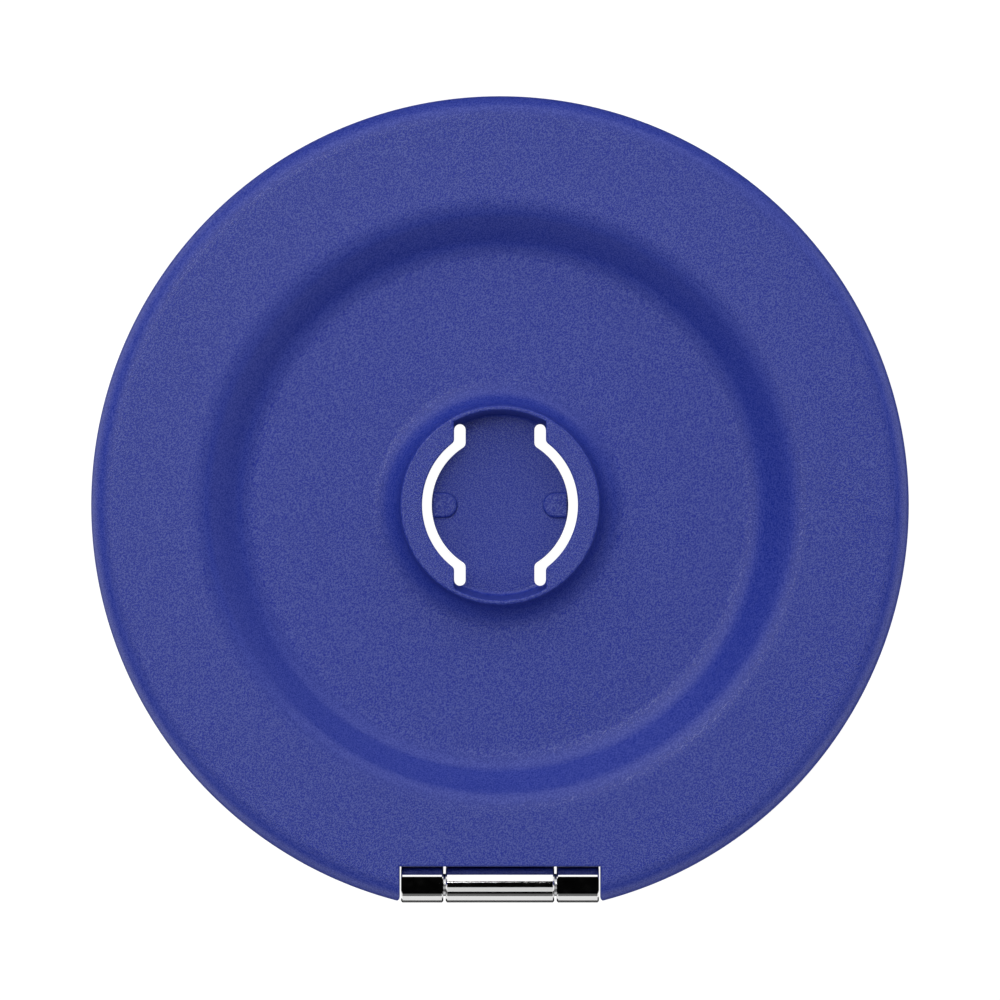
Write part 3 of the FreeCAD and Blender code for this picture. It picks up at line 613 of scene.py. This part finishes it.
tray_notch_levels = [(BELOW_TRAY, 0), *eased_levels(TRAY_TOP, TRAY_NOTCH_EASE), (ABOVE_TRAY, TRAY_NOTCH_EASE)]
tray_notch = eased_solid("tray_notch", partial(square_notch, TRAY_NOTCH_HALF, NOTCH_WALL), tray_notch_levels)
magnet_channel = channel(
    "magnet_channel", MAGNET_COVER_INNER, MAGNET_COVER_OUTER, MAGNET_LOW, MAGNET_LEDGE, MAGNET_TOP
)
ring_housing = turned(
    "ring_housing_tray", tray_profile, blue_spark,
    tools=[
        tray_notch, magnet_channel,
        *leaf_tools(TRAY_RECESS_LOW, ABOVE_TRAY, TRAY_PILOT_LOW, TRAY_PILOT_TOP),
    ],
)
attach(ring_housing, "magnet_ring")
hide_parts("ring_housing")


# Magnets: sixteen arcs of sintered magnet, pressed from powder, ground, and plated with nickel.
# They are glued side by side into the tray and hold the stand on the phone.
MAGNET_COUNT = 16
nickel = Finish("nickel_plate", (0.66, 0.64, 0.6), 0.3, metal=1)
nickel.emboss(nickel.noise(0.25, detail=3), depth=0.01)
nickel.vary_roughness(nickel.noise(0.8), 0.22, 0.4)
nickel.tint(nickel.noise(3), dark=(0.6, 0.58, 0.53), light=(0.7, 0.68, 0.64))
give_finish(nickel, *[f"magnet_{number:02d}" for number in range(1, MAGNET_COUNT + 1)])


# Phone pad: a thin moulded ring of matt silicone that grips the phone's back, bonded to the tray.
# Its edges are rounded, and it is cut away at the hinge like the tray.
PAD_INNER, PAD_OUTER, PAD_TOP, PAD_ROUND, PAD_TOP_ROUND = 22.3, 27.9, 0.5, 0.18, 0.04
PAD_NOTCH_HALF, PAD_NOTCH_WALL, BELOW_PAD, ABOVE_PAD = 8.34, -25.95, -1, 2
pad_middle = (PAD_INNER + PAD_OUTER) / 2
pad_profile = filleted([
    (pad_middle, 0),
    (PAD_OUTER, 0, PAD_ROUND),
    (PAD_OUTER, PAD_TOP, PAD_TOP_ROUND),
    (PAD_INNER, PAD_TOP, PAD_TOP_ROUND),
    (PAD_INNER, 0, PAD_ROUND),
    (pad_middle, 0),
])
pad_edge = [(-level, grown) for level, grown in reversed(eased_levels(0, PAD_ROUND))]
pad_notch = eased_solid(
    "pad_notch", partial(square_notch, PAD_NOTCH_HALF, PAD_NOTCH_WALL),
    [(BELOW_PAD, PAD_ROUND), *pad_edge, (ABOVE_PAD, 0)],
)
blue_silicone = Finish("blue_silicone", (0.016, 0.028, 0.19), 0.6)
blue_silicone.emboss(blue_silicone.noise(0.05), depth=0.008)
blue_silicone.vary_roughness(blue_silicone.noise(0.9), 0.54, 0.68)
blue_silicone.tint(blue_silicone.noise(4, detail=3), dark=(0.015, 0.026, 0.18), light=(0.018, 0.031, 0.205))
blue_silicone.shader["Sheen Weight"].default_value = 0.08
phone_pad = turned("phone_pad_silicone", pad_profile, blue_silicone, tools=[pad_notch])
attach(phone_pad, "magnet_ring")
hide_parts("phone_pad")


# Hinge leaves: steel plates with curled knuckles, polished and chrome plated, let in flush and screwed on.
# The stand's leaf has the two outer knuckles, with a flat along them, and the ring's leaf the centre one.
chrome = Finish("chrome_plate", (0.8, 0.8, 0.8), 0.05, metal=1)
chrome.emboss(chrome.noise(0.05, detail=3, stretch=(40, 1, 1)), depth=0.0002)
chrome.vary_roughness(chrome.noise(0.6, detail=3), 0.035, 0.075)
give_finish(chrome, "stand_hinge_leaf", "ring_hinge_leaf")


# Hinge pin and friction clips: a ground steel pin pressed into the outer knuckles, and four split
# clips of spring steel in the centre knuckle, whose grip on the pin holds the stand at any angle.
CLIP_COUNT = 4
ground_steel = Finish("ground_steel", (0.6, 0.6, 0.61), 0.25, metal=1)
grinding = ground_steel.noise(0.04, detail=3, stretch=(1, 25, 25))
ground_steel.emboss(grinding, depth=0.002)
ground_steel.vary_roughness(grinding, 0.18, 0.34)
ground_steel.tint(ground_steel.noise(1.2), dark=(0.55, 0.55, 0.56), light=(0.64, 0.64, 0.65))
give_finish(ground_steel, "hinge_pin", *[f"friction_clip_{number}" for number in range(1, CLIP_COUNT + 1)])


# Screws: two countersunk steel screws with a cross recess hold each leaf, flush with its face.
# One is turned and its recess cut, and the same screw is set at each hole, head down in the stand.
SCREW_HEAD_RADIUS, SCREW_HEAD_HEIGHT, SCREW_SHANK, SCREW_LENGTH = 0.95, 0.45, 0.5, 1.9
SCREW_RIM, RIM_UNDER_ROUND, RIM_ROUND = 0.04, 0.02, 0.03
SCREW_TIP_ROUND, SCREW_NECK_ROUND, SCREW_SEGMENTS = 0.12, 0.05, 40
CROSS_STEPS = ((-0.34, 0.3, 0.09), (-0.05, 0.55, 0.13), (0.2, 0.58, 0.13))  # level, reach, half width
screw_profile = filleted([
    (0, -SCREW_LENGTH),
    (SCREW_SHANK, -SCREW_LENGTH, SCREW_TIP_ROUND),
    (SCREW_SHANK, -SCREW_HEAD_HEIGHT, SCREW_NECK_ROUND),
    (SCREW_HEAD_RADIUS, -SCREW_RIM, RIM_UNDER_ROUND),
    (SCREW_HEAD_RADIUS, 0, RIM_ROUND),
    (0, 0),
])


def cross_outline(reach, half):
    arm = [(reach, -half), (reach, half), (half, half)]
    turns = ((1, 0), (0, 1), (-1, 0), (0, -1))
    return [(x * cos - y * sin, x * sin + y * cos) for cos, sin in turns for x, y in arm]


cross_tool = stacked("cross_tool", [
    at_level(cross_outline(reach, half), level) for level, reach, half in CROSS_STEPS
])
plated_steel = Finish("plated_steel", (0.58, 0.58, 0.6), 0.3, metal=1)
plated_steel.emboss(plated_steel.noise(0.12, detail=3), depth=0.004)
plated_steel.vary_roughness(plated_steel.noise(0.3), 0.22, 0.38)
plated_steel.tint(plated_steel.noise(0.5), dark=(0.52, 0.52, 0.54), light=(0.63, 0.63, 0.65))
one_screw = turned(
    "one_screw", screw_profile, plated_steel, tools=[cross_tool], segments=SCREW_SEGMENTS, scale=1
)
screw_tree = ShapeTree("screws_in_holes", Screw="Object", Turn="Float", Material="Material")
screws_set = screw_tree.node("GeometryNodeInstanceOnPoints", {
    "Points": screw_tree.given["Geometry"],
    "Instance": screw_tree.node("GeometryNodeObjectInfo", {"Object": screw_tree.given["Screw"]})["Geometry"],
    "Rotation": screw_tree.node("ShaderNodeCombineXYZ", {"X": screw_tree.given["Turn"]})[0],
})[0]
screw_tree.close(screw_tree.node("GeometryNodeRealizeInstances", {"Geometry": screws_set})[0])


def set_screws(label, body, level, turn):
    """The two screws of a leaf, whose heads lie at a level, as one piece."""
    holes = [(side * SCREW_X, SCREW_Y, level) for _, side in SIDES]
    screws = shaped(
        f"{label}_cross", screw_tree, holes, Screw=one_screw, Turn=turn, Material=plated_steel.material
    )
    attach(screws, body)
    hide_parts(label)


set_screws("stand_hinge_screws", "stand_leaf", DISC_BACK, math.pi)
set_screws("ring_hinge_screws", "magnet_ring", TRAY_TOP, 0.0)
bpy.data.objects.remove(one_screw)
